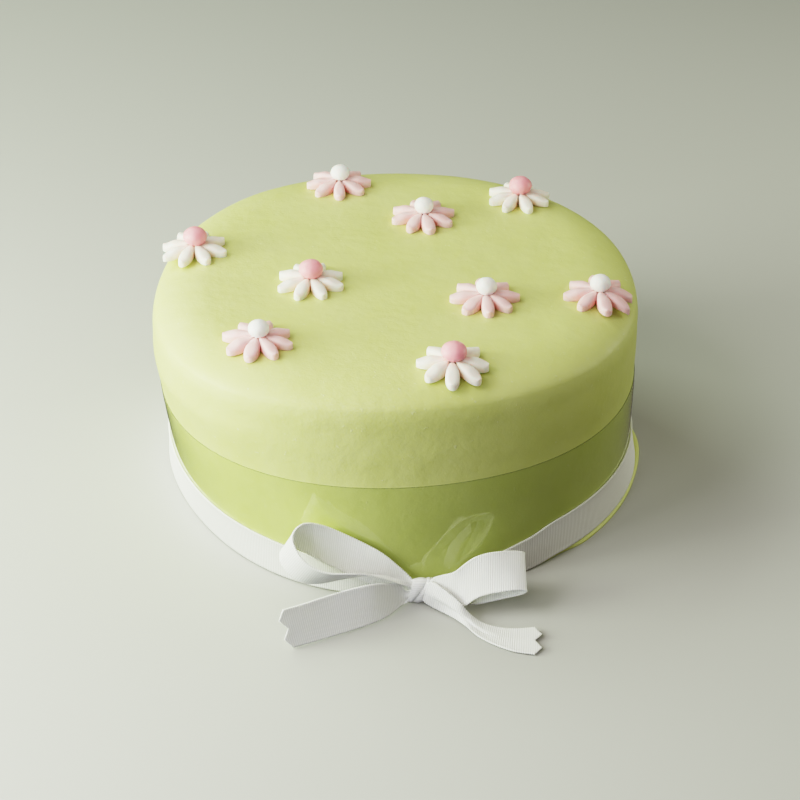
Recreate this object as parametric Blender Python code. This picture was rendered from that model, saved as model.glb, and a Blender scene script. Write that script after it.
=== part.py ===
"""Iced sponge cake with a clear collar, a ribbon tied in a bow and nine sugar daisies.

The frame stands in the middle of the cake's underside: +Z is up, -Y is the side with the bow
and +X is to the right of someone who looks at the bow. Lengths in this script are in
millimetres and angles in degrees; MM and math.radians turn them into Blender's units.
"""

import math

import bpy
import bmesh
from mathutils import Vector

MM = 0.001
GAP = 0.3                     # clearance between pieces that lie against each other
SEGMENTS = 80                 # steps around the cake, its collar and its ribbon
SMOOTH_ANGLE = 40             # edges sharper than this stay crisp

# --- cake ------------------------------------------------------------------------------------
CAKE_HEIGHT = 91.4
EDGE_DROP = 8.5               # the rounded top edge is a quarter ellipse, wider than it is high
EDGE_RUN = 21.9
EDGE_STEPS = 6

# Mean radius of the outermost layer at each height: ribbon, then collar, then bare icing.
WALL_PROFILE = [
    (0.0, 103.9),
    (16.2, 103.0),
    (49.6, 103.5),
    (67.5, 103.7),
    (77.5, 103.4),
    (CAKE_HEIGHT, 100.8),
]
# The hand-made cake isn't round: (waves around, size of the wave, direction of its crest).
BASE_WAVES = [(1, 2.2, -2.0), (2, 1.8, -79.0), (3, 1.65, 24.0), (4, 0.9, -13.0)]
SHOULDER_WAVES = [(1, 0.5, -162.0), (2, 1.7, 48.0), (3, 1.3, -16.0), (4, 1.75, -43.0)]
SHOULDER_HEIGHT = 67.5        # the base waves have faded out and the shoulder waves are full here
WALL_HEIGHTS = (16.0, 33.0, 49.6, 54.0, 60.0, 67.5, 77.5)

# A thin lip of icing creeps out under the ribbon on the right.
LIP_HEIGHT = 1.8
LIP_FACE = 0.7                # share of the lip's height that stands upright
LIP_WIDTH = 0.75              # beyond the ribbon, along most of the lip
LIP_LOBE = 2.5                # extra width at its widest place
LIP_LOBE_AT = 5.0
LIP_LOBE_SPREAD = 12.0
LIP_START = -50.0
LIP_END = 30.0
LIP_FADE = 9.0

# --- collar and ribbon -----------------------------------------------------------------------
COLLAR_THICKNESS = 0.4
COLLAR_TOP = 49.6
COLLAR_FOOT = 0.9
COLLAR_SHARES = (0.0, 0.33, 0.66, 1.0)    # heights of the collar's rings, from its foot to its top
RIBBON_THICKNESS = 0.5
RIBBON_WIDTH = 16.0
RIBBON_FOOT = 0.5
# The knot gathers the band: its edges draw together towards the knot's direction.
GATHER_AT = -84.8
GATHER_SPREAD = 20.0
GATHER_FROM_ABOVE = 9.0
GATHER_FROM_BELOW = 1.0

# --- bow -------------------------------------------------------------------------------------
STRAP_THICKNESS = 0.5
STRAP_STEPS = 3               # smooth steps between two stations of a strap
KNOT_CENTRE = (9.9, -110.2, 6.1)
KNOT_HALF_SIZE = (4.6, 2.6, 5.4)
KNOT_BLUNTNESS = 0.75         # 1 is an ellipsoid, and less is boxier
KNOT_STEPS = (16, 10)         # around and from top to bottom
LOOP_COLUMNS = 2              # steps across a loop's width
TAIL_COLUMNS = 8              # steps across a tail's width, enough to cut its end to points
TAIL_POINT = 3.0              # length of the two points cut into a tail's end

# Stations along each strap: the upper edge, the lower edge, and how far the middle bulges out.
LEFT_LOOP = [
    ((4.5, -108.6, 12.8), (4.3, -108.3, 3.6), 0.2),
    ((-4.0, -107.2, 20.8), (-7.0, -108.4, 6.8), 0.2),
    ((-11.5, -105.6, 25.0), (-14.4, -107.8, 9.8), 0.0),
    ((-20.0, -104.3, 29.0), (-22.0, -107.0, 13.6), 0.0),
    ((-27.5, -104.6, 33.0), (-29.0, -106.2, 17.1), 0.0),
    ((-34.0, -106.7, 36.0), (-36.5, -104.2, 20.5), 0.0),
    ((-38.0, -109.7, 36.2), (-42.0, -103.6, 22.0), 0.0),
    ((-40.0, -112.8, 34.2), (-45.2, -105.1, 21.2), 0.0),
    ((-39.3, -115.5, 31.3), (-45.2, -108.2, 18.2), 0.0),
    ((-36.3, -118.7, 27.4), (-42.0, -111.0, 14.6), 0.0),
    ((-31.6, -120.8, 24.4), (-36.4, -112.5, 11.6), 0.0),
    ((-25.4, -121.7, 22.7), (-29.3, -111.8, 10.7), 0.0),
    ((-18.4, -120.7, 21.7), (-20.7, -110.3, 11.7), 0.0),
    ((-11.8, -118.7, 20.0), (-13.2, -109.7, 12.6), 0.0),
    ((-5.2, -116.5, 16.5), (-5.7, -109.1, 12.4), 0.3),
    ((0.7, -113.6, 12.2), (0.6, -109.5, 10.9), 0.3),
    ((4.5, -111.6, 9.4), (4.5, -109.7, 9.7), 0.2),
]
RIGHT_LOOP = [
    ((15.2, -111.3, 12.8), (15.4, -111.6, 4.8), 0.3),
    ((18.1, -112.0, 14.6), (19.1, -115.0, 4.0), 0.3),
    ((23.1, -113.1, 17.1), (24.1, -117.9, 3.5), 0.2),
    ((26.7, -112.2, 19.8), (27.5, -119.9, 5.7), 0.0),
    ((30.9, -110.8, 22.4), (31.4, -119.9, 9.1), 0.0),
    ((36.0, -109.8, 23.8), (36.0, -119.8, 11.2), 0.0),
    ((41.2, -108.5, 23.8), (41.1, -119.8, 12.5), 0.0),
    ((46.1, -106.9, 22.9), (46.2, -119.5, 13.2), 0.0),
    ((49.7, -105.6, 21.7), (49.8, -118.9, 12.8), 0.0),
    ((51.0, -104.7, 19.9), (51.6, -118.4, 11.7), 0.0),
    ((48.8, -104.0, 17.8), (49.5, -117.8, 9.7), 0.0),
    ((44.0, -103.3, 15.7), (44.5, -117.1, 7.7), 0.0),
    ((37.7, -102.9, 13.8), (38.3, -116.5, 5.5), 0.0),
    ((30.9, -103.5, 11.9), (32.0, -115.7, 3.2), 0.0),
    ((24.0, -106.0, 9.1), (25.3, -112.9, 1.3), 0.2),
    ((15.4, -107.9, 7.5), (15.6, -109.0, 1.5), 0.2),
]
LEFT_TAIL = [
    ((4.4, -110.9, 6.2), (4.6, -112.0, 1.2), 0.3),
    ((1.9, -111.6, 9.4), (2.0, -114.1, 1.1), 0.6),
    ((-2.9, -115.3, 13.0), (-2.1, -119.4, 1.0), 0.8),
    ((-9.1, -119.5, 15.7), (-7.9, -124.2, 0.9), 0.5),
    ((-17.3, -122.6, 15.8), (-15.0, -128.3, 0.9), 0.3),
    ((-26.1, -126.5, 15.5), (-23.1, -132.4, 0.9), 0.2),
    ((-34.9, -131.5, 15.6), (-31.5, -136.5, 0.9), 0.1),
    ((-43.2, -136.0, 15.9), (-39.2, -140.0, 0.9), 0.0),
]
RIGHT_TAIL = [
    ((14.2, -112.9, 12.0), (11.6, -113.0, 2.6), 0.8),
    ((17.6, -115.6, 11.9), (15.4, -115.6, 1.5), 1.5),
    ((21.5, -118.2, 10.2), (20.1, -119.2, 1.3), 1.6),
    ((25.5, -120.8, 7.8), (24.4, -122.9, 1.2), 1.4),
    ((29.0, -122.4, 3.9), (27.8, -127.0, 1.2), 0.8),
    ((33.7, -124.8, 1.3), (32.3, -133.0, 1.0), 0.4),
    ((40.0, -127.3, 0.8), (38.3, -138.0, 0.9), 0.3),
    ((46.6, -128.3, 0.9), (45.5, -142.0, 0.9), 0.3),
    ((54.6, -128.3, 1.5), (53.7, -144.1, 0.9), 0.3),
]

# --- daisies ---------------------------------------------------------------------------------
PETALS = 8
PETAL_REACH = 14.4            # from the middle of the flower to a petal's tip
PETAL_ROOT = 1.5              # where a petal's oval would start
PETAL_JOIN = 5.4              # the petals are one piece at least out to here
PETAL_HALF_WIDTH = 3.0
PETAL_TAPER = 0.85            # below 1 the oval is fullest nearer to the flower's middle
PETAL_BLUNTNESS = 0.7         # 1 has a sharp tip, and less is rounder
# Directions of the mesh's columns off a petal's own line; the last is the valley to the next petal.
PETAL_COLUMNS = (0.0, 11.0, 18.5, 22.5, -18.5, -11.0)
PETAL_RINGS = (0.35, 0.72)    # shares of the reach where the petals' tops have a ring of points
OUTLINE_HALVINGS = 30         # steps that find where the petals' outline crosses a direction
PETAL_CROWN = 4.1             # greatest height of a petal
PETAL_TIP = 2.4               # height of a petal's tip
PETAL_HOLLOW = 0.8            # height of the middle, under the ball
PETAL_VALLEY = 1.6            # height of the valley between two petals
PETAL_RISE = (1.5, 8.0)       # a petal's top rises between these two radii
PETAL_FALL = 9.5              # and falls from here to its tip

PINK_BALL = (5.0, 6.2)        # radius, and height of the middle over the flower's underside
WHITE_BALL = (4.5, 5.7)
BALL_STEPS = (14, 9)          # around and from top to bottom

# Each flower's place, the direction of one petal, whether the petals are the pink ones, and how far
# the flower bends to the rounded edge that it lies on: 0 stays flat and 1 follows it.
DAISIES = [
    (-25.4, 76.0, 3.7, True, 0.4),
    (11.8, 44.0, 16.9, True, 0.4),
    (54.7, 63.2, 18.7, False, 0.4),
    (-85.5, 14.1, 29.5, False, 0.1),
    (-35.5, -14.6, 23.2, False, 0.4),
    (36.4, -28.0, 4.3, True, 0.4),
    (83.1, -24.4, 7.4, True, 0.4),
    (-54.5, -62.7, 30.9, True, 0.4),
    (22.0, -80.0, -3.0, False, 0.4),
]


# --- helpers ---------------------------------------------------------------------------------

def clear_scene():
    for item in list(bpy.data.objects):
        bpy.data.objects.remove(item, do_unlink=True)


def paint(name, colour, roughness, alpha=1.0):
    material = bpy.data.materials.new(name)
    material.use_nodes = True
    shader = material.node_tree.nodes["Principled BSDF"]
    shader.inputs["Base Color"].default_value = (*colour, 1.0)
    shader.inputs["Roughness"].default_value = roughness
    shader.inputs["Metallic"].default_value = 0.0
    shader.inputs["Alpha"].default_value = alpha
    return material


def add_solid(name, points, faces, material):
    """Make one closed object from points in millimetres, with its faces turned outwards."""
    mesh = bpy.data.meshes.new(name)
    mesh.from_pydata([Vector(point) * MM for point in points], [], faces)
    shell = bmesh.new()
    shell.from_mesh(mesh)
    bmesh.ops.recalc_face_normals(shell, faces=shell.faces)
    shell.to_mesh(mesh)
    shell.free()
    mesh.shade_smooth()
    mesh.set_sharp_from_angle(angle=math.radians(SMOOTH_ANGLE))
    mesh.materials.append(material)
    item = bpy.data.objects.new(name, mesh)
    bpy.context.collection.objects.link(item)
    return item


def interpolate(table, x):
    """Read a table of (x, value) pairs, with straight lines between its rows."""
    for (x0, y0), (x1, y1) in zip(table, table[1:]):
        if x <= x1:
            share = (x - x0) / (x1 - x0)
            return y0 + (y1 - y0) * share
    return table[-1][1]


def ease(x, start, end):
    """Rise smoothly from 0 at start to 1 at end."""
    share = min(max((x - start) / (end - start), 0.0), 1.0)
    return share * share * (3.0 - 2.0 * share)


def around():
    """The directions around the cake, in degrees from -180."""
    return [360.0 * step / SEGMENTS - 180.0 for step in range(SEGMENTS)]


def polar(radius, angle, height):
    turn = math.radians(angle)
    return (radius * math.cos(turn), radius * math.sin(turn), height)


def ring_faces(rings, count, closed):
    """Quads between rings of count points; closed also joins the last ring to the first."""
    faces = []
    for ring in range(rings if closed else rings - 1):
        after = (ring + 1) % rings
        for step in range(count):
            beside = (step + 1) % count
            faces.append((ring * count + step, ring * count + beside,
                          after * count + beside, after * count + step))
    return faces


def fan_faces(start, count, pole):
    """Triangles between one ring of count points and a single point."""
    return [(start + step, start + (step + 1) % count, pole) for step in range(count)]


def ball_mesh(radius, steps):
    """Points and faces of a ball around the origin."""
    shell = bmesh.new()
    bmesh.ops.create_uvsphere(shell, u_segments=steps[0], v_segments=steps[1], radius=radius)
    shell.verts.index_update()
    points = [vertex.co.copy() for vertex in shell.verts]
    faces = [[vertex.index for vertex in face.verts] for face in shell.faces]
    shell.free()
    return points, faces


# --- the cake's shape ------------------------------------------------------------------------

def waves(table, angle):
    return sum(size * math.cos(math.radians(count * (angle - crest))) for count, size, crest in table)


def outer_wall(angle, height):
    """Radius of the outermost layer."""
    share = min(height / SHOULDER_HEIGHT, 1.0)
    unevenness = (1.0 - share) * waves(BASE_WAVES, angle) + share * waves(SHOULDER_WAVES, angle)
    return interpolate(WALL_PROFILE, height) + unevenness


def collar_inset(height):
    """The collar lies behind the ribbon at its foot and is the outermost layer at its top."""
    return (RIBBON_THICKNESS + GAP) * (1.0 - ease(height, RIBBON_WIDTH, COLLAR_TOP))


def collar_outside(angle, height):
    return outer_wall(angle, height) - collar_inset(height)


def icing_wall(angle, height):
    """The icing fills the collar and swells over its top edge."""
    inset = collar_inset(height) + COLLAR_THICKNESS + GAP
    return outer_wall(angle, height) - inset * (1.0 - ease(height, COLLAR_TOP, SHOULDER_HEIGHT))


def lip_share(angle):
    """1 where the lip runs along the base, and 0 where there is none."""
    begun = ease(angle, LIP_START, LIP_START + LIP_FADE)
    ended = ease(angle, LIP_END - LIP_FADE, LIP_END)
    return begun * (1.0 - ended)


def lip_radius(angle):
    lobe = LIP_LOBE * math.exp(-((angle - LIP_LOBE_AT) / LIP_LOBE_SPREAD) ** 2)
    base = icing_wall(angle, 0.0)
    return base + (outer_wall(angle, 0.0) + LIP_WIDTH + lobe - base) * lip_share(angle)


def foot_lift(angle):
    """The collar and the ribbon ride up where the lip lies under them."""
    begun = ease(angle, LIP_START - LIP_FADE, LIP_START)
    ended = ease(angle, LIP_END, LIP_END + LIP_FADE)
    return LIP_HEIGHT * begun * (1.0 - ended)


def gather(angle):
    """1 behind the knot, and falling to 0 along the band on both sides of it."""
    return math.exp(-((angle - GATHER_AT) / GATHER_SPREAD) ** 2)


def icing_height(x, y):
    """Height of the icing's top at a place, down to where the rounded edge turns vertical."""
    angle = math.degrees(math.atan2(y, x))
    inset = icing_wall(angle, CAKE_HEIGHT) - math.hypot(x, y)
    across = 1.0 - min(max(inset / EDGE_RUN, 0.0), 1.0)
    return CAKE_HEIGHT - EDGE_DROP * (1.0 - math.sqrt(1.0 - across * across))


# --- sub-parts -------------------------------------------------------------------------------

def make_cake(material):
    rings = []
    for height in (0.0, LIP_FACE * LIP_HEIGHT):
        rings.append([polar(lip_radius(angle), angle, height) for angle in around()])
    for height in (LIP_HEIGHT, *WALL_HEIGHTS):
        rings.append([polar(icing_wall(angle, height), angle, height) for angle in around()])
    for step in range(EDGE_STEPS + 1):
        turn = math.radians(90.0 * step / EDGE_STEPS)
        height = CAKE_HEIGHT - EDGE_DROP * (1.0 - math.sin(turn))
        inset = EDGE_RUN * (1.0 - math.cos(turn))
        rings.append([polar(icing_wall(angle, height) - inset, angle, height) for angle in around()])
    points = [point for ring in rings for point in ring]
    faces = ring_faces(len(rings), SEGMENTS, closed=False)
    underside = len(points)
    top = underside + 1
    points += [(0.0, 0.0, 0.0), (0.0, 0.0, CAKE_HEIGHT)]
    faces += fan_faces(0, SEGMENTS, underside)
    faces += fan_faces(underside - SEGMENTS, SEGMENTS, top)
    return add_solid("cake", points, faces, material)


def make_collar(material):
    rings = []
    outside = [(0.0, share) for share in COLLAR_SHARES]
    inside = [(COLLAR_THICKNESS, share) for share in reversed(COLLAR_SHARES)]
    for inset, share in outside + inside:
        ring = []
        for angle in around():
            foot = COLLAR_FOOT + foot_lift(angle)
            level = foot + share * (COLLAR_TOP - foot)
            ring.append(polar(collar_outside(angle, level) - inset, angle, level))
        rings.append(ring)
    points = [point for ring in rings for point in ring]
    return add_solid("collar", points, ring_faces(len(rings), SEGMENTS, closed=True), material)


def make_ribbon(material):
    rings = []
    for inset, upper in ((0.0, False), (0.0, True), (RIBBON_THICKNESS, True), (RIBBON_THICKNESS, False)):
        ring = []
        for angle in around():
            level = RIBBON_FOOT + foot_lift(angle)
            if upper:
                level += RIBBON_WIDTH - GATHER_FROM_ABOVE * gather(angle)
            else:
                level += GATHER_FROM_BELOW * gather(angle)
            ring.append(polar(outer_wall(angle, level) - inset, angle, level))
        rings.append(ring)
    points = [point for ring in rings for point in ring]
    return add_solid("ribbon_band", points, ring_faces(len(rings), SEGMENTS, closed=True), material)


def make_knot(material):
    ball, faces = ball_mesh(1.0, KNOT_STEPS)
    points = []
    for point in ball:
        boxy = [math.copysign(abs(value) ** KNOT_BLUNTNESS, value) for value in point]
        sizes = zip(KNOT_CENTRE, KNOT_HALF_SIZE, boxy)
        points.append([centre + half * value for centre, half, value in sizes])
    return add_solid("bow_knot", points, faces, material)


def smooth_stations(stations):
    """Pass a smooth curve through the stations of both edges and of the bulge."""
    rows = [[*upper, *lower, bulge] for upper, lower, bulge in stations]
    ends = [rows[0]] + rows + [rows[-1]]
    result = []
    for before, here, after, beyond in zip(ends, ends[1:], ends[2:], ends[3:]):
        for step in range(STRAP_STEPS):
            t = step / STRAP_STEPS
            result.append([0.5 * (2 * b + (c - a) * t + (2 * a - 5 * b + 4 * c - d) * t ** 2
                                  + (3 * b - a - 3 * c + d) * t ** 3)
                           for a, b, c, d in zip(before, here, after, beyond)])
    result.append(rows[-1])
    return result


def strap_surface(stations, columns):
    """Grid of points: one row for each step along the strap, one column for each share of its width."""
    grid = []
    rows = smooth_stations(stations)
    for index, row in enumerate(rows):
        upper = Vector(row[0:3])
        lower = Vector(row[3:6])
        before = rows[max(index - 1, 0)]
        after = rows[min(index + 1, len(rows) - 1)]
        along = Vector(after[0:3]) + Vector(after[3:6]) - Vector(before[0:3]) - Vector(before[3:6])
        outward = along.cross(upper - lower).normalized()
        grid.append([upper.lerp(lower, share) + outward * row[6] * 4.0 * share * (1.0 - share)
                     for share in columns])
    return grid


def cut_points(grid, columns):
    """Cut the last row of a tail to two points."""
    along = (grid[-1][0] - grid[-2][0]).normalized()
    for column, share in enumerate(columns):
        reach = 1.0 - abs((share * 2.0) % 1.0 - 0.5) * 2.0
        grid[-1][column] = grid[-1][column] + along * TAIL_POINT * reach


def thicken(name, grid, material):
    """Close a surface into a solid of the strap's thickness."""
    rows = len(grid)
    columns = len(grid[0])
    front = []
    back = []
    for r in range(rows):
        for c in range(columns):
            along = grid[min(r + 1, rows - 1)][c] - grid[max(r - 1, 0)][c]
            across = grid[r][max(c - 1, 0)] - grid[r][min(c + 1, columns - 1)]
            offset = along.cross(across).normalized() * (STRAP_THICKNESS / 2.0)
            front.append(grid[r][c] + offset)
            back.append(grid[r][c] - offset)
    size = rows * columns
    faces = []
    for r in range(rows - 1):
        for c in range(columns - 1):
            here = r * columns + c
            after = here + columns
            corners = [here, here + 1, after + 1, after]
            faces.append(corners)
            faces.append([size + corner for corner in reversed(corners)])
    border = list(range(columns))
    border += [r * columns + columns - 1 for r in range(1, rows)]
    border += [(rows - 1) * columns + c for c in range(columns - 2, -1, -1)]
    border += [r * columns for r in range(rows - 2, 0, -1)]
    for here, after in zip(border, border[1:] + border[:1]):
        faces.append([here, after, size + after, size + here])
    return add_solid(name, front + back, faces, material)


def make_strap(name, stations, material, pointed=False):
    steps = TAIL_COLUMNS if pointed else LOOP_COLUMNS
    columns = [step / steps for step in range(steps + 1)]
    grid = strap_surface(stations, columns)
    if pointed:
        cut_points(grid, columns)
    return thicken(name, grid, material)


def petal_half_width(radius):
    share = (radius - PETAL_ROOT) / (PETAL_REACH - PETAL_ROOT)
    return PETAL_HALF_WIDTH * math.sin(math.pi * share ** PETAL_TAPER) ** PETAL_BLUNTNESS


def petal_reach(offset):
    """Radius of the petals' outline, at an angle off the nearest petal's own line."""
    near = PETAL_JOIN
    far = PETAL_REACH
    for _ in range(OUTLINE_HALVINGS):
        middle = (near + far) / 2.0
        if math.degrees(math.atan2(petal_half_width(middle), middle)) > abs(offset):
            near = middle
        else:
            far = middle
    return near


def petal_height(radius, share):
    """Height of a petal's top: hollow under the ball, crowned outside it, lower at the rim."""
    rise = ease(radius, *PETAL_RISE)
    fall = ease(radius, PETAL_FALL, PETAL_REACH)
    crest = PETAL_CROWN + (PETAL_TIP - PETAL_CROWN) * fall
    valley = PETAL_HOLLOW + (PETAL_VALLEY - PETAL_HOLLOW) * rise
    return valley + (crest - valley) * rise * share


def flower_foot(x, y, settle):
    """Height of a flower's underside, which partly follows the icing below it."""
    ground = icing_height(x, y)
    return ground + GAP + (1.0 - settle) * (CAKE_HEIGHT - ground)


def make_petals(name, place, turn, settle, material):
    spacing = 360.0 / PETALS
    directions = []
    for petal in range(PETALS):
        for offset in PETAL_COLUMNS:
            own_petal = petal if offset >= 0.0 else petal + 1
            middle = 1.0 - 2.0 * abs(offset) / spacing
            directions.append((turn + own_petal * spacing + offset, petal_reach(offset), middle))
    count = len(directions)
    rings = []
    tops = [(share, True) for share in (*PETAL_RINGS, 1.0)]
    undersides = [(1.0, False), (0.5, False)]
    for share, on_top in tops + undersides:
        ring = []
        for angle, reach, middle in directions:
            x = place[0] + share * reach * math.cos(math.radians(angle))
            y = place[1] + share * reach * math.sin(math.radians(angle))
            height = petal_height(share * reach, math.sqrt(middle)) if on_top else 0.0
            ring.append((x, y, flower_foot(x, y, settle) + height))
        rings.append(ring)
    points = [point for ring in rings for point in ring]
    faces = ring_faces(len(rings), count, closed=False)
    foot = flower_foot(*place, settle)
    hollow = len(points)
    points += [(*place, foot + petal_height(0.0, 1.0)), (*place, foot)]
    faces += fan_faces(0, count, hollow)
    faces += fan_faces(hollow - count, count, hollow + 1)
    return add_solid(name, points, faces, material)


def make_ball(name, place, settle, ball, material):
    radius, height = ball
    middle = Vector((*place, flower_foot(*place, settle) + height))
    points, faces = ball_mesh(radius, BALL_STEPS)
    return add_solid(name, [point + middle for point in points], faces, material)


def main():
    clear_scene()
    icing = paint("marzipan", (0.62, 0.66, 0.28), 0.55)
    film = paint("clear_film", (0.75, 0.82, 0.62), 0.08, alpha=0.3)
    band = paint("ribbon_band", (0.84, 0.84, 0.80), 0.6)
    bow = paint("ribbon_bow", (0.86, 0.86, 0.83), 0.6)
    white_sugar = paint("white_sugar", (0.86, 0.85, 0.81), 0.6)
    pale_pink_sugar = paint("pale_pink_sugar", (0.83, 0.68, 0.67), 0.6)
    pink_sugar = paint("pink_sugar", (0.82, 0.43, 0.46), 0.5)

    make_cake(icing)
    make_collar(film)
    make_ribbon(band)
    make_knot(bow)
    make_strap("bow_loop_left", LEFT_LOOP, bow)
    make_strap("bow_loop_right", RIGHT_LOOP, bow)
    make_strap("bow_tail_left", LEFT_TAIL, bow, pointed=True)
    make_strap("bow_tail_right", RIGHT_TAIL, bow, pointed=True)
    for number, (x, y, turn, pink_petals, settle) in enumerate(DAISIES, start=1):
        if pink_petals:
            petal_sugar, ball, ball_sugar = pale_pink_sugar, WHITE_BALL, white_sugar
        else:
            petal_sugar, ball, ball_sugar = white_sugar, PINK_BALL, pink_sugar
        make_petals(f"daisy_petals_{number}", (x, y), turn, settle, petal_sugar)
        make_ball(f"daisy_ball_{number}", (x, y), settle, ball, ball_sugar)


main()
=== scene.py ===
# %% [markdown]
# # A marzipan cake with a ribbon bow and sugar daisies
#
# The plain solid model of this cake is already made. It fixes where each piece is and how big it is.
# This script dresses it. Each solid is replaced by a finer piece of the same form, and each piece
# gets a material with the small detail of the real thing: the soft hand-smoothed marzipan, the clear
# film round its lower half, the cross ribs of the ribbon, and the plump sugar petals.
#
# +Z is up, -Y is the side with the bow and +X is to the right of someone who looks at the bow.
# The solid model was drawn in millimetres, so the numbers here are in millimetres too, and MM
# turns them into Blender's metres in the last step of each piece.

# %% Load the solid model
import math

import bmesh
import bpy
import numpy as np
from mathutils import Matrix, Vector


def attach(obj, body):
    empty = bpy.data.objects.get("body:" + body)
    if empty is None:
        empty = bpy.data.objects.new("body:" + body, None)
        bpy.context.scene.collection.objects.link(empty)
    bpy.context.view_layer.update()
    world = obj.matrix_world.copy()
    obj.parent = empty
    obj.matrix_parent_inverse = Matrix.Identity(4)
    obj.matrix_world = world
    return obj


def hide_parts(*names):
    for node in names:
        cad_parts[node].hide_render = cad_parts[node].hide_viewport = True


MM = 0.001


def in_mm(lengths):
    return [round(length / MM, 1) for length in lengths]


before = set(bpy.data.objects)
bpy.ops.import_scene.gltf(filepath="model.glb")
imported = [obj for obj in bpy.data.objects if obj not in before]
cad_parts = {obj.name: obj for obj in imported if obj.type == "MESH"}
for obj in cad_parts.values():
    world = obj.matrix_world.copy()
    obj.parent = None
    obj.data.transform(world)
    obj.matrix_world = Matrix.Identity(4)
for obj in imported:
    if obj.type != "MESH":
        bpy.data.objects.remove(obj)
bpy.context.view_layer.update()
print("solids:", len(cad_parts))

# %% [markdown]
# ## The camera
# The photo was taken from in front and above. Straight edges in it that are really square gave the
# camera's place, its three turns and its focal length. Setting the matrix directly avoids having to
# think about the order in which Blender applies the turns: its columns are the directions of the
# picture's right, its top, and the way back to the viewer.

# %% The camera at the photo's place
CAMERA_PLACE = Vector((-2.5, -796.0, 526.6)) * MM
CAMERA_DOWN = math.radians(32.168)
CAMERA_TURN = math.radians(0.332)
CAMERA_ROLL = math.radians(0.352)
CAMERA_LENS = 97.1
CAMERA_SENSOR = 36.0

level = Vector((math.sin(CAMERA_TURN), math.cos(CAMERA_TURN), 0.0))
ahead = level * math.cos(CAMERA_DOWN) - Vector((0.0, 0.0, math.sin(CAMERA_DOWN)))
right = Matrix.Rotation(-CAMERA_ROLL, 3, ahead) @ Vector((level.y, -level.x, 0.0))
above = right.cross(ahead)
turned = Matrix((right, above, -ahead)).transposed().to_4x4()

camera = bpy.data.objects.new("camera", bpy.data.cameras.new("camera"))
camera.data.lens = CAMERA_LENS
camera.data.sensor_width = CAMERA_SENSOR
camera.matrix_world = Matrix.Translation(CAMERA_PLACE) @ turned
bpy.context.collection.objects.link(camera)
bpy.context.scene.camera = camera
print("camera looks along", [round(value, 3) for value in ahead])

# %% [markdown]
# ## Node trees written as sums
# Blender's node trees are usually wired by hand. Here a value that runs through a tree is a Wire, and
# arithmetic on wires adds the Math nodes. A tree then reads like the formula that it works out, and
# the same few helpers serve the shapes (Geometry Nodes) and the finishes (shader nodes).

# %% Wires
def fill(tree, node, inputs):
    """Put a number, a colour, a material or another node's output into each named input."""
    for key, value in inputs.items():
        socket = node.inputs[key]
        if isinstance(value, Wire):
            tree.links.new(value.socket, socket)
        elif socket.type == "RGBA":
            socket.default_value = (*value, 1.0)
        else:
            socket.default_value = value


def add(tree, kind, inputs=None, output=0, **options):
    """Add a node, and return one of its outputs as a wire."""
    node = tree.nodes.new(kind)
    for name, option in options.items():
        setattr(node, name, option)
    fill(tree, node, inputs or {})
    return Wire(tree, node.outputs[output])


class Wire:
    """A number, a vector or a shape that runs through a node tree."""

    def __init__(self, tree, socket):
        self.tree = tree
        self.socket = socket

    def other(self, name):
        """Another output of the same node."""
        return Wire(self.tree, self.socket.node.outputs[name])

    def calc(self, operation, *others):
        values = dict(enumerate((self, *others)))
        return add(self.tree, "ShaderNodeMath", values, operation=operation)

    def vector(self, operation, *others):
        values = dict(enumerate((self, *others)))
        return add(self.tree, "ShaderNodeVectorMath", values, operation=operation)

    def scaled(self, factor):
        """This vector times a number."""
        return add(self.tree, "ShaderNodeVectorMath", {0: self, "Scale": factor}, operation="SCALE")

    def parts(self):
        """The X, Y and Z of this vector."""
        x = add(self.tree, "ShaderNodeSeparateXYZ", {0: self})
        return x, x.other("Y"), x.other("Z")

    def then(self, kind, **inputs):
        """This shape after one more Geometry Nodes step."""
        return add(self.tree, kind, {"Geometry": self, **inputs})

    def __add__(self, other):
        return self.calc("ADD", other)

    def __sub__(self, other):
        return self.calc("SUBTRACT", other)

    def __mul__(self, other):
        return self.calc("MULTIPLY", other)

    def __truediv__(self, other):
        return self.calc("DIVIDE", other)

    def __pow__(self, other):
        return self.calc("POWER", other)

    def __rsub__(self, other):
        return self * -1.0 + other

    def __rtruediv__(self, other):
        return self ** -1.0 * other

    __radd__ = __add__
    __rmul__ = __mul__


def xyz(tree, x=0.0, y=0.0, z=0.0):
    """Three numbers as one vector."""
    return add(tree, "ShaderNodeCombineXYZ", {0: x, 1: y, 2: z})


# %% Trees, groups and modifiers
SHAPES = "GeometryNodeTree"
FINISHES = "ShaderNodeTree"
SHAPE = "NodeSocketGeometry"
FINISH = "NodeSocketMaterial"
NUMBER = "NodeSocketFloat"
SOCKET_FOR = {float: NUMBER, int: "NodeSocketInt"}


def new_tree(name, kind, inputs):
    """Start a tree. Each input has a name, and either a default number or a socket type."""
    tree = bpy.data.node_groups.new(name, kind)
    for label, default in inputs.items():
        socket_type = SOCKET_FOR.get(type(default), default)
        socket = tree.interface.new_socket(name=label, in_out="INPUT", socket_type=socket_type)
        if socket_type != default:
            socket.default_value = default
    source = tree.nodes.new("NodeGroupInput")
    return tree, {label: Wire(tree, source.outputs[label]) for label in inputs}


def end_tree(tree, outputs):
    """Give the tree its outputs, and say how big it is."""
    for label in outputs:
        socket_type = SHAPE if label == "Geometry" else NUMBER
        tree.interface.new_socket(name=label, in_out="OUTPUT", socket_type=socket_type)
    fill(tree, tree.nodes.new("NodeGroupOutput"), outputs)
    print(f"{tree.name}: {len(tree.nodes)} nodes")
    return tree


def use(tree, group, inputs, output=0):
    """Place a group inside another tree."""
    kind = tree.bl_idname.replace("NodeTree", "NodeGroup")
    return add(tree, kind, inputs, output, node_tree=group)


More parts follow.
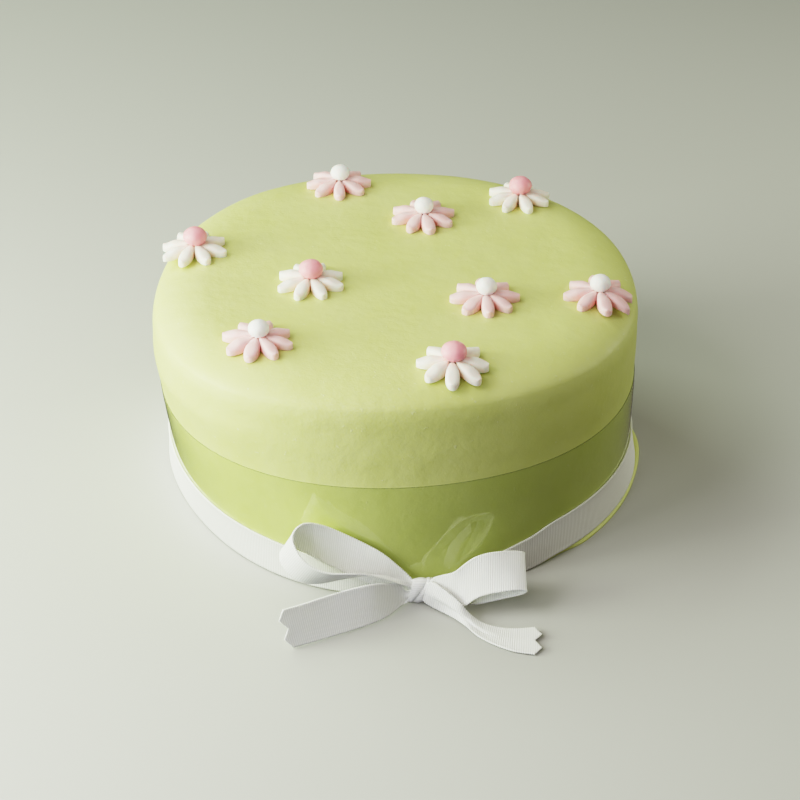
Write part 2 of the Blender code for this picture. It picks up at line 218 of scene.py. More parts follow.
def grow(item, tree, inputs):
    """Give an object a Geometry Nodes modifier, and set its inputs by their identifiers."""
    modifier = item.modifiers.new(tree.name, "NODES")
    modifier.node_group = tree
    for socket in tree.interface.items_tree:
        if socket.in_out == "INPUT" and socket.name in inputs:
            modifier[socket.identifier] = inputs[socket.name]


# %% Pieces
def new_piece(name, points=(), faces=()):
    mesh = bpy.data.meshes.new(name)
    mesh.from_pydata([tuple(point) for point in points], [], faces)
    item = bpy.data.objects.new(name, mesh)
    bpy.context.collection.objects.link(item)
    return item


def bake(item):
    """Turn an object with modifiers into a plain mesh, and say how big it is."""
    graph = bpy.context.evaluated_depsgraph_get()
    made = item.evaluated_get(graph)
    mesh = bpy.data.meshes.new_from_object(made, preserve_all_data_layers=True, depsgraph=graph)
    item.modifiers.clear()
    item.data = mesh
    print(f"{item.name}: {len(mesh.polygons)} faces, {in_mm(item.dimensions)} mm")


def stand_for(item, node):
    """Let a piece replace a solid, and let it ride on the cake's one body."""
    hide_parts(node)
    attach(item, "root")


# %% [markdown]
# ## The rule behind the cake's shape
# A cake that is covered by hand is never quite round. Its wall is described by one rule: a mean radius
# at each height, plus a few cosine waves that run round it. The waves at the foot fade into other
# waves at the shoulder. The ribbon, the film and the icing all take their radius from this one group,
# so they lie snugly on each other wherever the cake bulges.

# %% The sizes of the cake and its layers
GAP = 0.3
CAKE_HEIGHT = 91.4
EDGE_DROP = 8.5
EDGE_RUN = 21.9
WALL_PROFILE = [
    (0.0, 103.9),
    (16.2, 103.0),
    (49.6, 103.5),
    (67.5, 103.7),
    (77.5, 103.4),
    (CAKE_HEIGHT, 100.8),
]
BASE_WAVES = [(1, 2.2, -2.0), (2, 1.8, -79.0), (3, 1.65, 24.0), (4, 0.9, -13.0)]
SHOULDER_WAVES = [(1, 0.5, -162.0), (2, 1.7, 48.0), (3, 1.3, -16.0), (4, 1.75, -43.0)]
SHOULDER_HEIGHT = 67.5

COLLAR_THICKNESS = 0.4
COLLAR_TOP = 49.6
COLLAR_FOOT = 0.9
RIBBON_THICKNESS = 0.5
RIBBON_WIDTH = 16.0
RIBBON_FOOT = 0.5

# %% The radius of each layer, as a node group
def ease(x, start, end):
    """Rise smoothly from 0 at start to 1 at end."""
    inputs = {"Value": x, "From Min": start, "From Max": end}
    return add(x.tree, "ShaderNodeMapRange", inputs, interpolation_type="SMOOTHSTEP")


def waves(angle, table):
    """The sum of a table's waves, each given as (waves around, size, direction of its crest)."""
    total = 0.0
    for count, size, crest in table:
        total = ((angle - crest) * math.radians(count)).calc("COSINE") * size + total
    return total


def make_layers_group():
    tree, wires = new_tree("Layers of the wall", SHAPES, {"Angle": 0.0, "Height": 0.0})
    angle = wires["Angle"]
    height = wires["Height"]
    wall = WALL_PROFILE[0][1]
    for (low, radius), (high, next_radius) in zip(WALL_PROFILE, WALL_PROFILE[1:]):
        wall = ease(height, low, high) * (next_radius - radius) + wall
    share = (height / SHOULDER_HEIGHT).calc("MINIMUM", 1.0)
    wall = wall + waves(angle, BASE_WAVES) * (1.0 - share) + waves(angle, SHOULDER_WAVES) * share
    behind = (1.0 - ease(height, RIBBON_WIDTH, COLLAR_TOP)) * (RIBBON_THICKNESS + GAP)
    filled = 1.0 - ease(height, COLLAR_TOP, SHOULDER_HEIGHT)
    icing = wall - (behind + (COLLAR_THICKNESS + GAP)) * filled
    return end_tree(tree, {"Outermost": wall, "Collar": wall - behind, "Icing": icing})


layers = make_layers_group()

# %% [markdown]
# ## Finishes: one group for everything made of sugar paste
# Rolled marzipan and moulded sugar have the same kind of surface at different sizes: broad, barely
# visible blotches where the colour isn't quite mixed, a fine grain of ground almond or sugar, small
# pale flecks of icing sugar, and low ripples left by the hands that smoothed it. One shader group
# makes all four from noise in Object coordinates, which stay put on the piece. It gives out a blotch
# mask, a fleck mask and a height for the Bump node. Each material mixes its own colours with them.

# %% The sugar paste group
BLOTCH_RISE = (0.25, 0.75)
FLECK_RISE = (0.68, 0.78)
PATCH_RISE = (0.48, 0.60)
PATCH_SIZE = 4.0
GRAIN_HEIGHT = 0.35
FLECK_HEIGHT = 0.5


def noise(place, size, detail=1.0, roughness=0.4):
    """Soft noise. Its spots are about size across, in the unit that the place is given in."""
    inputs = {"Vector": place, "Scale": 1.0 / size, "Detail": detail, "Roughness": roughness}
    return add(place.tree, "ShaderNodeTexNoise", inputs, output="Fac")


def make_sugar_group():
    """All sizes are in millimetres. Patches gather the flecks into loose clouds."""
    tree, wires = new_tree("Sugar paste", FINISHES, {
        "Blotch size": 20.0, "Grain size": 0.5, "Fleck size": 1.2, "Ripple size": 6.0, "Ripple height": 0.0,
    })
    place = add(tree, "ShaderNodeTexCoord", output="Object").scaled(1.0 / MM)
    blotches = ease(noise(place, wires["Blotch size"], detail=3.0, roughness=0.55), *BLOTCH_RISE)
    grain = noise(place, wires["Grain size"], detail=2.0, roughness=0.6)
    specks = noise(place, wires["Fleck size"])
    patches = noise(place, wires["Fleck size"] * PATCH_SIZE, roughness=0.5)
    flecks = ease(specks, *FLECK_RISE) * ease(patches, *PATCH_RISE)
    ripples = noise(place, wires["Ripple size"], detail=4.0, roughness=0.55)
    height = grain * GRAIN_HEIGHT + flecks * FLECK_HEIGHT + ripples * wires["Ripple height"]
    return end_tree(tree, {"Blotches": blotches, "Flecks": flecks, "Height": height})


sugar_group = make_sugar_group()

# %% Helpers for the materials
BLOTCH_ROUGHNESS = 0.10
FLECK_ROUGHNESS = 0.08
SUGAR_MIRROR = 0.45


def new_material(name):
    """Returns the material, its tree and its Principled shader."""
    material = bpy.data.materials.new(name)
    material.use_nodes = True
    tree = material.node_tree
    print("finish:", name)
    return material, tree, tree.nodes["Principled BSDF"]


def mix_colours(tree, share, first, second):
    """The first colour where share is 0, and the second where it is 1."""
    return add(tree, "ShaderNodeMix", {0: share, 6: first, 7: second}, output=2, data_type="RGBA")


def bump(height, depth):
    return add(height.tree, "ShaderNodeBump", {"Height": height, "Distance": depth * MM})


def sugar_material(name, paste, roughness, colour, deeper, fleck, gap_shade=None):
    """One kind of sugar: its main colour, that of its blotches and flecks, and a painted shade for deep
    between the petals.
    """
    material, tree, shader = new_material(name)
    blotches = use(tree, sugar_group, paste["sizes"])
    flecks = blotches.other("Flecks")
    colour = mix_colours(tree, blotches, colour, deeper)
    colour = mix_colours(tree, flecks * paste["fleck share"], colour, fleck)
    # Deep between the petals, the colour is mixed towards a painted shade.
    if gap_shade:
        gap_shade_mask = add(tree, "ShaderNodeAttribute", output="Fac", attribute_name="gap_shade")
        colour = mix_colours(tree, gap_shade_mask, colour, gap_shade)
    fill(tree, shader, {
        "Base Color": colour,
        "Roughness": blotches * BLOTCH_ROUGHNESS + roughness + flecks * FLECK_ROUGHNESS,
        "Normal": bump(blotches.other("Height"), paste["depth"]),
        "Specular IOR Level": SUGAR_MIRROR,
        **paste["glow"],
    })
    return material


# %% [markdown]
# ## The marzipan
# Rolled marzipan is pale yellow-green, matt with a faint satin sheen, and light sinks a little way
# into it, which the shader's Subsurface inputs do. Its colour isn't one flat green: two close greens
# are mixed by the blotch mask, with pale flecks of icing sugar on top.

# %% The marzipan's finish
MARZIPAN_PASTE = {
    "sizes": {"Blotch size": 26.0, "Grain size": 0.8, "Fleck size": 1.5, "Ripple size": 9.0,
              "Ripple height": 4.2},
    "fleck share": 0.4,
    "depth": 0.10,
    "glow": {"Subsurface Weight": 0.25, "Subsurface Radius": (1.0, 0.9, 0.35),
             "Subsurface Scale": 2.5 * MM},
}
marzipan = sugar_material(
    "marzipan", MARZIPAN_PASTE, 0.47, (0.620, 0.657, 0.287), (0.580, 0.622, 0.250), (0.74, 0.76, 0.50))

# %% [markdown]
# ## The body of the cake
# The cake's outline is drawn once as a row of points, and Geometry Nodes sweep it round. It could
# also be a Screw modifier, but that only makes round things. The tree takes a grid, looks up for
# each grid point which outline point and which direction it belongs to, and asks the layers group
# for the radius there. Each outline point holds three numbers: how far it is set in from the wall,
# the share of the radius that it keeps (0 at the middle of the top), and its height.

# %% The cake's outline
LIP_HEIGHT = 1.8
LIP_STEPS = 6
WALL_STEP = 2.3
EDGE_STEPS = 22
TOP_STEPS = 22


def cake_outline():
    """Points (inset, share of the radius, height) from the middle of the underside to the top."""
    edge_start = CAKE_HEIGHT - EDGE_DROP
    points = [(0.0, 0.0, 0.0), (0.0, 0.5, 0.0), (0.0, 0.95, 0.0)]
    for step in range(LIP_STEPS + 1):
        points.append((0.0, 1.0, LIP_HEIGHT * math.sin(math.radians(90.0 * step / LIP_STEPS))))
    wall_steps = round((edge_start - LIP_HEIGHT) / WALL_STEP)
    for step in range(1, wall_steps):
        points.append((0.0, 1.0, LIP_HEIGHT + (edge_start - LIP_HEIGHT) * step / wall_steps))
    for step in range(EDGE_STEPS + 1):
        turn = math.radians(90.0 * step / EDGE_STEPS)
        points.append((EDGE_RUN * (1.0 - math.cos(turn)), 1.0, edge_start + EDGE_DROP * math.sin(turn)))
    for step in range(1, TOP_STEPS + 1):
        points.append((EDGE_RUN, 1.0 - step / TOP_STEPS, CAKE_HEIGHT))
    return points


outline = cake_outline()
print("points in the outline:", len(outline))

# %% [markdown]
# A thin lip of marzipan has crept out under the ribbon on the right. It is part of the same sweep: at
# the foot, the radius grows by the lip's width wherever the lip runs, with a quarter-round section.

# %% The lip, and how the film and the ribbon ride over it
LIP_WIDTH = 0.6
LIP_LOBE = 2.3
LIP_LOBE_AT = 5.0
LIP_LOBE_SPREAD = 12.0
LIP_START = -50.0
LIP_END = 30.0
LIP_FADE = 9.0
RIDE_OUT = 0.35


def bell(angle, middle, spread):
    """1 at the middle, and falling smoothly to 0 on both sides."""
    away = (angle - middle) / spread
    return (away * away * -1.0).calc("EXPONENT")


def lip_share(angle):
    """1 where the lip runs along the base, and 0 where there is none."""
    return ease(angle, LIP_START, LIP_START + LIP_FADE) * (1.0 - ease(angle, LIP_END - LIP_FADE, LIP_END))


def foot_lift(angle):
    """How far the film and the ribbon ride up over the lip."""
    begun = ease(angle, LIP_START - LIP_FADE, LIP_START)
    return begun * (1.0 - ease(angle, LIP_END, LIP_END + LIP_FADE)) * LIP_HEIGHT


# %% Steps that the trees for shapes share
TOUCHING = 0.002 * MM


def grid(tree, columns, rows):
    """A grid as a shape, and the column and the row of each of its points."""
    shape = add(tree, "GeometryNodeMeshGrid", {"Vertices X": columns, "Vertices Y": rows})
    index = add(tree, "GeometryNodeInputIndex")
    row = index.calc("FLOORED_MODULO", rows)
    return shape, (index - row) / rows, row


def polar(radius, angle, height):
    """The place, as a vector, at a radius, a direction in degrees and a height."""
    turn = angle * math.radians(1.0)
    return xyz(radius.tree, radius * turn.calc("COSINE"), radius * turn.calc("SINE"), height)


def place_points(shape, place):
    """Move every point to a place that is given in millimetres, and join the doubled points."""
    shape = shape.then("GeometryNodeSetPosition", Position=place.scaled(MM))
    return shape.then("GeometryNodeMergeByDistance", Distance=TOUCHING)


def finish_shape(shape, material):
    """Smooth, realize and paint: the end of every tree."""
    shape = shape.then("GeometryNodeSetShadeSmooth").then("GeometryNodeRealizeInstances")
    return shape.then("GeometryNodeSetMaterial", Material=material)


# %% The tree that sweeps the outline round the cake
CAKE_SIZES = {"Steps around": 300.0, "Dimple size": 45.0, "Dimple depth": 0.45}


def make_cake_tree():
    tree, wires = new_tree("Cake body", SHAPES, {
        "Outline": SHAPE, "Outline points": 1.0, **CAKE_SIZES, "Material": FINISH,
    })
    steps = wires["Steps around"]
    shape, column, row = grid(tree, steps + 1.0, wires["Outline points"])
    angle = column / steps * 360.0 - 180.0
    position = add(tree, "GeometryNodeInputPosition")
    looked_up = {"Geometry": wires["Outline"], "Value": position, "Index": row}
    point = add(tree, "GeometryNodeSampleIndex", looked_up, data_type="FLOAT_VECTOR")
    inset, keep, height = point.parts()

    icing = use(tree, layers, {"Angle": angle, "Height": height}, "Icing")
    foot = use(tree, layers, {"Angle": angle, "Height": 0.0}, "Icing")
    lip = foot.other("Outermost") - foot + bell(angle, LIP_LOBE_AT, LIP_LOBE_SPREAD) * LIP_LOBE + LIP_WIDTH
    raised = (height / LIP_HEIGHT).calc("MINIMUM", 1.0)
    roundness = (1.0 - raised * raised).calc("SQRT")
    radius = (icing - inset + lip * lip_share(angle) * roundness) * keep
    shape = place_points(shape, polar(radius, angle, height))

    swell = noise(position, wires["Dimple size"] * MM) * 2.0 - 1.0
    free = ease(position.parts()[2], COLLAR_TOP * MM, SHOULDER_HEIGHT * MM)
    normal = add(tree, "GeometryNodeInputNormal")
    offset = normal.scaled(swell * wires["Dimple depth"] * free * MM)
    shape = shape.then("GeometryNodeSetPosition", Offset=offset)
    return end_tree(tree, {"Geometry": finish_shape(shape, wires["Material"])})


cake = new_piece("marzipan_cake", outline)
grow(cake, make_cake_tree(), {"Outline points": float(len(outline)), "Material": marzipan})
bake(cake)
stand_for(cake, "cake")

# %% [markdown]
# ## Layers that go round the cake
# The clear collar and the ribbon are both strips that run round the wall. One tree makes either of
# them as a thin surface: a grid whose long side is bent round the cake by the layers group. It also
# writes two attributes on each point, along and across, which tell the later steps where they are on
# the strip. The points lie closer together towards the strip's edges, where the ribbon will get a
# raised rim. Where the bow's knot pulls on the ribbon, the strip's edges draw together. Where the
# ribbon rides over the lip, its foot is also pushed a little outwards.

# %% The tree for a strip round the cake
GATHER_AT = -84.8
GATHER_SPREAD = 20.0


def store(shape, name, value, data_type="FLOAT", domain="POINT"):
    """Write a value on each point or corner of a shape, under a name."""
    inputs = {"Geometry": shape, "Name": name, "Value": value}
    return add(shape.tree, "GeometryNodeStoreNamedAttribute", inputs, data_type=data_type, domain=domain)


def make_strip_tree():
    tree, wires = new_tree("Strip round the cake", SHAPES, {
        "Steps around": 100.0, "Steps across": 8.0, "Foot": 0.0, "Top": 16.0, "Top follows foot": 1.0,
        "Gathered from above": 0.0, "Gathered from below": 0.0, "Under the ribbon": 0.0, "Inset": 0.0,
        "Length": 650.0, "Material": FINISH,
    })
    shape, column, row = grid(tree, wires["Steps around"] + 1.0, wires["Steps across"] + 1.0)
    share = column / wires["Steps around"]
    across = (row / wires["Steps across"] * math.pi).calc("COSINE") * -0.5 + 0.5
    angle = share * 360.0 - 180.0
    lift = foot_lift(angle)
    gather = bell(angle, GATHER_AT, GATHER_SPREAD)
    low = wires["Foot"] + lift + wires["Gathered from below"] * gather
    high = wires["Top"] + lift * wires["Top follows foot"] - wires["Gathered from above"] * gather
    height = low + (high - low) * across
    wall = use(tree, layers, {"Angle": angle, "Height": height}, "Outermost")
    behind = (wall - wall.other("Collar")) * wires["Under the ribbon"]
    pushed_out = lift * wires["Top follows foot"] * (1.0 - across) * RIDE_OUT
    shape = store(shape, "along", share * wires["Length"] * MM)
    shape = store(shape, "across", across)
    shape = place_points(shape, polar(wall - behind - wires["Inset"] + pushed_out, angle, height))
    return end_tree(tree, {"Geometry": finish_shape(shape, wires["Material"])})


strip_tree = make_strip_tree()


def thicken(item, thickness, offset):
    """Give a thin surface its thickness: offset 0 grows both ways and -1 grows inwards only."""
    solidify = item.modifiers.new("thickness", "SOLIDIFY")
    solidify.thickness = thickness * MM
    solidify.offset = offset


# %% [markdown]
# ## The clear collar
# The lower half of the cake is wrapped in a strip of clear film. Real glass made by the shader's
# Transmission would shut out most of the lamps' light, because a path tracer rarely finds a lamp
# through a bent surface. A film this thin doesn't bend light to speak of, so it is a mix of two
# simple things: a slightly tinted Transparent shader, and a mirror-like gloss. How much there is of
# each follows the slant at which the film is seen: square on it mirrors about a fourteenth of the
# light, and edge on it mirrors all of it. Layer Weight gives that slant. The Fresnel node isn't used
# here, because on the film's inner face it would count as light leaving thick glass, and turn the
# film into a full mirror. The film's cut edge gets a dark grey-green, partly the edge's own tint and
# partly painted shade for the thin dark line along the film's top. Its corners are marked sharp:
# smooth shading across them would bend the mirrored light into a bright line beside the cut.
#
# The film clings to the marzipan, so it is set in until its inner face lies just under the icing.
# With a gap there, light would slip in behind its top edge, and with the two faces at the same
# depth they would show through each other in streaks.

# %% The film's two finishes
FILM_TINT = (0.94, 0.965, 0.91)
FILM_SHINE = 0.05
FILM_MIRROR = 0.07
MIRROR_POWER = 5.0
EDGE_SHADE_COLOUR = (0.17, 0.19, 0.11)
EDGE_ROUGHNESS = 0.7
EDGE_SHARE = 0.75

clear_film, tree, gloss = new_material("clear_film")
fill(tree, gloss, {"Base Color": (1.0, 1.0, 1.0), "Metallic": 1.0, "Roughness": FILM_SHINE})
clear = add(tree, "ShaderNodeBsdfTransparent", {"Color": FILM_TINT})
slant = add(tree, "ShaderNodeLayerWeight", {"Blend": 0.5}, output="Facing")
share = slant ** MIRROR_POWER * (1.0 - FILM_MIRROR) + FILM_MIRROR
mixed = add(tree, "ShaderNodeMixShader", {0: share, 1: clear, 2: Wire(tree, gloss.outputs[0])})
fill(tree, tree.nodes["Material Output"], {"Surface": mixed})

# The cut edge's dark colour is partly the edge's own tint and partly painted shade, for the dark line along
# the film's top.
film_edge_with_painted_shade, tree, shader = new_material("film_edge_with_painted_shade")
fill(tree, shader, {"Base Color": EDGE_SHADE_COLOUR, "Roughness": EDGE_ROUGHNESS, "Alpha": EDGE_SHARE})

# %% The collar
FILM_INSET = 0.42
SHARP_CORNER = 45.0
LEVEL = 0.7

collar = new_piece("film_collar")
grow(collar, strip_tree, {
    "Steps around": 300.0, "Steps across": 16.0, "Foot": COLLAR_FOOT, "Top": COLLAR_TOP,
    "Top follows foot": 0.0, "Under the ribbon": 1.0, "Inset": FILM_INSET, "Material": clear_film,
})
thicken(collar, COLLAR_THICKNESS, -1.0)
bake(collar)
collar.data.materials.clear()
collar.data.materials.append(clear_film)
collar.data.materials.append(film_edge_with_painted_shade)
for face in collar.data.polygons:
    face.material_index = int(abs(face.normal.z) > LEVEL)
collar.data.set_sharp_from_angle(angle=math.radians(SHARP_CORNER))
print("faces on the film's cut edges:", sum(face.material_index for face in collar.data.polygons))
stand_for(collar, "collar")

# %% [markdown]
# ## The ribbon's weave
# The ribbon is grosgrain: thick threads lie across it, so close ribs run from edge to edge, and
# finer threads run along it. The ribs are big enough to catch the light one by one, and they roughen
# the ribbon's outline, so they are real geometry. One Geometry Nodes tree makes them on any strip that
# carries the along and across attributes: it pushes each point out by a cosine of how far along it
# is. The fine threads are far too small for that, and are left to the shader's bump.

# %% The ribs
RIB_PITCH = 0.87
STEPS_PER_RIB = 4
CLOTH = 0.36
RIB_SIZES = {
    "Rib pitch": RIB_PITCH, "Rib height": 0.18, "Width": RIBBON_WIDTH, "Edge width": 0.07,
    "Edge height": 0.10,
}
EDGE_RIBS = 0.6


def attribute(tree, name):
    return add(tree, "GeometryNodeInputNamedAttribute", {"Name": name}, data_type="FLOAT")


def wave(place, pitch, kind="COSINE"):
    """A wave between 0 and 1 that comes back after each pitch."""
    return (place / pitch * math.tau).calc(kind) * 0.5 + 0.5


def make_rib_tree():
    """The ribs stand a little higher along the woven edge, which also gets a round bead."""
    tree, wires = new_tree("Ribbed ribbon", SHAPES, {"Ribbon": SHAPE, **RIB_SIZES, "Material": FINISH})
    along = attribute(tree, "along")
    across = attribute(tree, "across")
    rib = wave(along, wires["Rib pitch"] * MM)
    from_edge = across.calc("MINIMUM", 1.0 - across)
    woven = ease(from_edge, 0.0, wires["Edge width"])
    beside = (from_edge / wires["Edge width"] - 0.5) * 2.0
    bead = (1.0 - beside * beside).calc("MAXIMUM", 0.0)
    rib_height = wires["Rib height"] * (1.0 + EDGE_RIBS - woven * EDGE_RIBS)
    swell = rib * rib_height + bead * wires["Edge height"]
    place = xyz(tree, along, across * wires["Width"] * MM)
    shape = store(wires["Ribbon"], "weave", place, "FLOAT2", "CORNER")
    offset = add(tree, "GeometryNodeInputNormal").scaled(swell * MM)
    shape = shape.then("GeometryNodeSetPosition", Offset=offset)
    return end_tree(tree, {"Geometry": finish_shape(shape, wires["Material"])})


rib_tree = make_rib_tree()


def weave_cloth(item, cloth):
    """Give a strip the thickness of cloth, and raise the ribs on both of its faces."""
    thicken(item, CLOTH, 0.0)
    grow(item, rib_tree, {"Material": cloth})


# %% The weave's painted groove shade, its threads and cloudiness, as a shader group
THREAD_PITCH = 0.22
CLOUD_SIZE = 4.0
GROOVE_POWER = 2.0


def make_weave_group():
    """The weave map is in metres along and across the ribbon, so the threads follow it."""
    tree, wires = new_tree("Ribbon weave", FINISHES, {"Rib pitch": RIB_PITCH, "Thread pitch": THREAD_PITCH})
    place = add(tree, "ShaderNodeUVMap", uv_map="weave")
    along, across, _ = place.parts()
    # Where the ribs dip, this groove mask darkens the colour: painted shade.
    groove = (1.0 - wave(along, wires["Rib pitch"] * MM)) ** GROOVE_POWER
    thread = wave(across, wires["Thread pitch"] * MM, "SINE")
    cloud = noise(place, CLOUD_SIZE * MM, detail=3.0, roughness=0.6)
    return end_tree(tree, {"Groove": groove, "Thread": thread, "Cloudiness": cloud})


weave = make_weave_group()

# %% The ribbon's finish
GROOVE_SHADE = 0.75
THREAD_SHADE = 0.10
CLOUD_SHADE = 0.15
CLOTH_ROUGHNESS = 0.50
CLOUD_ROUGHNESS = 0.12
THREAD_HEIGHT = 0.6
CLOUD_HEIGHT = 0.4
THREAD_DEPTH = 0.008
CLOTH_SHEEN = {"Sheen Weight": 0.25, "Sheen Roughness": 0.4}
CLOTH_GLOW = {"Subsurface Radius": (1.0, 1.0, 0.9), "Subsurface Scale": 1.0 * MM}


def ribbon_material(name, colour, groove_shade_colour, glow):
    material, tree, shader = new_material(name)
    groove = use(tree, weave, {})
    thread = groove.other("Thread")
    cloud = groove.other("Cloudiness")
    # Painted shade: the colour darkens in the grooves between the ribs, on top of the real ribs' own
    # shading. The threads and the cloudiness vary the tone a little more.
    shade = groove * GROOVE_SHADE + thread * THREAD_SHADE + cloud * CLOUD_SHADE
    fill(tree, shader, {
        "Base Color": mix_colours(tree, shade, colour, groove_shade_colour),
        "Roughness": cloud * CLOUD_ROUGHNESS + CLOTH_ROUGHNESS,
        "Normal": bump(thread * THREAD_HEIGHT + cloud * CLOUD_HEIGHT, THREAD_DEPTH),
        "Subsurface Weight": glow,
        **CLOTH_SHEEN,
        **CLOTH_GLOW,
    })
    return material


band_cloth = ribbon_material("ribbon_band", (0.90, 0.90, 0.87), (0.62, 0.62, 0.58), 0.2)
# The bow's cloth is a brighter copy of the band's, with lighter grooves: painted light, which brightens the
# bow beyond what the lamps give it.
bow_cloth_painted_brighter = ribbon_material("ribbon_bow", (0.95, 0.95, 0.945), (0.76, 0.76, 0.75), 0.5)

# %% [markdown]
# ## The ribbon round the foot
# Three steps stack up here: the strip tree bends a surface round the cake, Solidify gives it the
# thickness of cloth, and the rib tree raises the ribs on both faces. The number of ribs is even and
# whole, so that the first and the last meet without a seam.

# %% The ribbon band
RIBS_AROUND = 750
RIBBON_INSET = 0.8

band = new_piece("ribbed_band")
grow(band, strip_tree, {
    "Steps around": float(RIBS_AROUND * STEPS_PER_RIB), "Steps across": 12.0, "Foot": RIBBON_FOOT,
    "Top": RIBBON_FOOT + RIBBON_WIDTH, "Gathered from above": 9.0, "Gathered from below": 1.0,
    "Inset": RIBBON_INSET, "Length": RIBS_AROUND * RIB_PITCH, "Material": band_cloth,
})
weave_cloth(band, band_cloth)
bake(band)
stand_for(band, "ribbon_band")

# %% [markdown]
# ## The bow's loops and tails
# Each strap of the bow is described by stations along it. A station gives the place of the ribbon's
# upper edge, the place of its lower edge, and how far the middle bulges out. They were read off the
# photo, at the depth where the ribbon keeps its width. A smooth curve is passed through the
# stations (Catmull-Rom: it goes through every station, unlike a Bezier curve's handles), and is then
# cut into equal steps, so that the ribs come out evenly spaced.
#
# Where the knot squeezes a strap, the spare width of the cloth has to go somewhere: it folds into
# pleats, deeper the more the strap is squeezed. The right tail also has one long crease, and below
# it the cloth steps back, as if its upper half lapped over the lower one.

# %% The stations of the four straps
LEFT_LOOP = [
    ((4.5, -108.6, 12.8), (4.3, -108.3, 3.6), 0.2),
    ((-4.0, -107.2, 20.8), (-7.0, -108.4, 6.8), 0.2),
    ((-11.5, -105.6, 25.0), (-14.4, -107.8, 9.8), 0.0),
    ((-20.0, -104.3, 29.0), (-22.0, -107.0, 13.6), 0.0),
    ((-27.5, -104.6, 33.0), (-29.0, -106.2, 17.1), 0.0),
    ((-34.0, -106.7, 36.0), (-36.5, -104.2, 20.5), 0.0),
    ((-38.0, -109.7, 36.2), (-42.0, -103.6, 22.0), 0.0),
    ((-40.0, -112.8, 34.2), (-45.2, -105.1, 21.2), 0.0),
    ((-39.3, -115.5, 31.3), (-45.2, -108.2, 18.2), 0.0),
    ((-36.3, -118.7, 27.4), (-42.0, -111.0, 14.6), 0.0),
    ((-31.6, -120.8, 24.4), (-36.4, -112.5, 11.6), 0.0),
    ((-25.4, -121.7, 22.7), (-29.3, -111.8, 10.7), 0.0),
    ((-18.4, -120.7, 21.7), (-20.7, -110.3, 11.7), 0.0),
    ((-11.8, -118.7, 20.0), (-13.2, -109.7, 12.6), 0.0),
    ((-5.2, -116.5, 16.5), (-5.7, -109.1, 12.4), 0.3),
    ((0.7, -113.6, 12.2), (0.6, -109.5, 10.9), 0.3),
    ((4.5, -111.6, 9.4), (4.5, -109.7, 9.7), 0.2),
]
RIGHT_LOOP = [
    ((15.2, -111.3, 12.8), (15.4, -111.6, 4.8), 0.3),
    ((18.1, -112.0, 14.6), (19.1, -115.0, 4.0), 0.3),
    ((23.1, -113.1, 17.1), (24.1, -117.9, 3.5), 0.2),
    ((26.7, -112.2, 19.8), (27.5, -119.9, 5.7), 0.0),
    ((30.9, -110.8, 22.4), (31.4, -119.9, 9.1), 0.0),
    ((36.0, -109.8, 23.8), (36.0, -119.8, 11.2), 0.0),
    ((41.2, -108.5, 23.8), (41.1, -119.8, 12.5), 0.0),
    ((46.1, -106.9, 22.9), (46.2, -119.5, 13.2), 0.0),
    ((49.7, -105.6, 21.7), (49.8, -118.9, 12.8), 0.0),
    ((51.0, -104.7, 19.9), (51.6, -118.4, 11.7), 0.0),
    ((48.8, -104.0, 17.8), (49.5, -117.8, 9.7), 0.0),
    ((44.0, -103.3, 15.7), (44.5, -117.1, 7.7), 0.0),
    ((37.7, -102.9, 13.8), (38.3, -116.5, 5.5), 0.0),
    ((30.9, -103.5, 11.9), (32.0, -115.7, 3.2), 0.0),
    ((24.0, -106.0, 9.1), (25.3, -112.9, 1.3), 0.2),
    ((15.4, -107.9, 7.5), (15.6, -109.0, 1.5), 0.2),
]
LEFT_TAIL = [
    ((4.4, -110.9, 6.2), (4.6, -112.0, 1.2), 0.3),
    ((1.9, -111.6, 9.4), (2.0, -114.1, 1.1), 0.6),
    ((-2.9, -115.3, 13.0), (-2.1, -119.4, 1.0), 0.8),
    ((-9.1, -119.5, 15.7), (-7.9, -124.2, 0.9), 0.5),
    ((-17.3, -122.6, 15.8), (-15.0, -128.3, 0.9), 0.3),
    ((-26.1, -126.5, 15.5), (-23.1, -132.4, 0.9), 0.2),
    ((-34.9, -131.5, 15.6), (-31.5, -136.5, 0.9), 0.1),
    ((-43.2, -136.0, 15.9), (-39.2, -140.0, 0.9), 0.0),
]
RIGHT_TAIL = [
    ((14.2, -112.9, 12.0), (11.6, -113.0, 2.6), 0.8),
    ((17.6, -115.6, 11.9), (15.4, -115.6, 1.5), 1.5),
    ((21.5, -118.2, 10.2), (20.1, -119.2, 1.3), 1.6),
    ((25.5, -120.8, 7.8), (24.4, -122.9, 1.2), 1.4),
    ((29.0, -122.4, 3.9), (27.8, -127.0, 1.2), 0.8),
    ((33.7, -124.8, 1.3), (32.3, -133.0, 1.0), 0.4),
    ((40.0, -127.3, 0.8), (38.3, -138.0, 0.9), 0.3),
    ((46.6, -128.3, 0.9), (45.5, -142.0, 0.9), 0.3),
    ((54.6, -128.3, 1.5), (53.7, -144.1, 0.9), 0.3),
]

# %% A smooth, evenly stepped route
KNOT_CENTRE = (9.9, -110.2, 6.1)
KNOT_HALF_SIZE = (4.6, 2.6, 5.4)
TUCK = 0.7
CURVE_STEPS = 24


def tucked(station):
    """A station's copy inside the knot. A strap runs on to it, so that no gap shows beside the knot."""
    upper, lower, bulge = station
    knot = Vector(KNOT_CENTRE)
    return Vector(upper).lerp(knot, TUCK), Vector(lower).lerp(knot, TUCK), bulge


